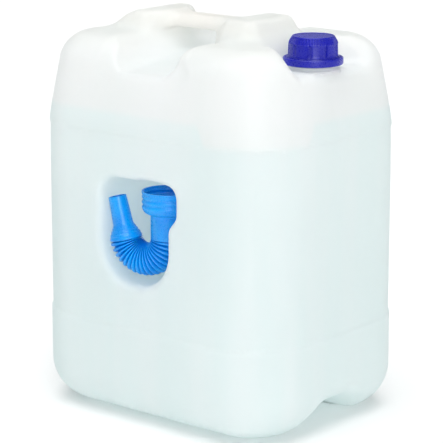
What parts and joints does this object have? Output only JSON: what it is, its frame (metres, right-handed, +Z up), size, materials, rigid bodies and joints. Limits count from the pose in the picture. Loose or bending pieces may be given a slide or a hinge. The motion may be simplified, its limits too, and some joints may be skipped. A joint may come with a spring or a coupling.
{
  "type": "jerry can",
  "caption": "Stackable translucent jerry can, part filled, with a screw cap and a bellows pouring spout stowed in a front pocket.",
  "frame": {"origin": "centre of the base, on the surface that the can stands on", "axes": "+Z up; X along the broad face, with the filler neck at +X; the face with the spout pocket is at -Y"},
  "size_m": [0.29, 0.232, 0.371],
  "materials": {
    "natural_polyethylene": "translucent natural blow-moulded polyethylene",
    "tinted_liquid": "clear liquid with a faint green-blue tint",
    "cap_blue": "deep royal blue moulded plastic",
    "spout_blue": "bright azure flexible plastic",
    "foam_liner": "white foam sealing disc"
  },
  "bodies": {
    "can": {"can_body": "natural_polyethylene", "liquid_fill": "tinted_liquid"},
    "liner": {"cap_liner": "foam_liner"},
    "cap": {"screw_cap": "cap_blue"},
    "ring": {"tamper_ring": "cap_blue"},
    "spout": {"spout_collar": "spout_blue", "spout_bellows": "spout_blue"},
    "nozzle": {"spout_nozzle": "spout_blue"}
  },
  "joints": [
    {"name": "cap_lift", "type": "slide", "parent": "can", "child": "liner", "axis": [0, 0, 1], "range_m": [0, 0.009]},
    {"name": "cap_turn", "type": "hinge", "parent": "liner", "child": "cap", "pos_m": [0.109, 0, 0.35], "axis": [0, 0, 1], "range_deg": [0, 648]},
    {"name": "ring_spin", "type": "hinge", "parent": "can", "child": "ring", "pos_m": [0.109, 0, 0.337], "axis": [0, 0, 1], "continuous": true},
    {"name": "spout_pull", "type": "slide", "parent": "can", "child": "spout", "axis": [0, -1, 0], "range_m": [0, 0.075]},
    {"name": "nozzle_tilt", "type": "hinge", "parent": "spout", "child": "nozzle", "pos_m": [-0.00693, -0.09542, 0.1542], "axis": [0.9763, 0.2164, 0], "range_deg": [0, 80], "deforming": ["spout_bellows"]}
  ],
  "couplings": [
    {"joint": "cap_lift", "follows": "cap_turn", "m_per_rad": 0.00079577}
  ]
}
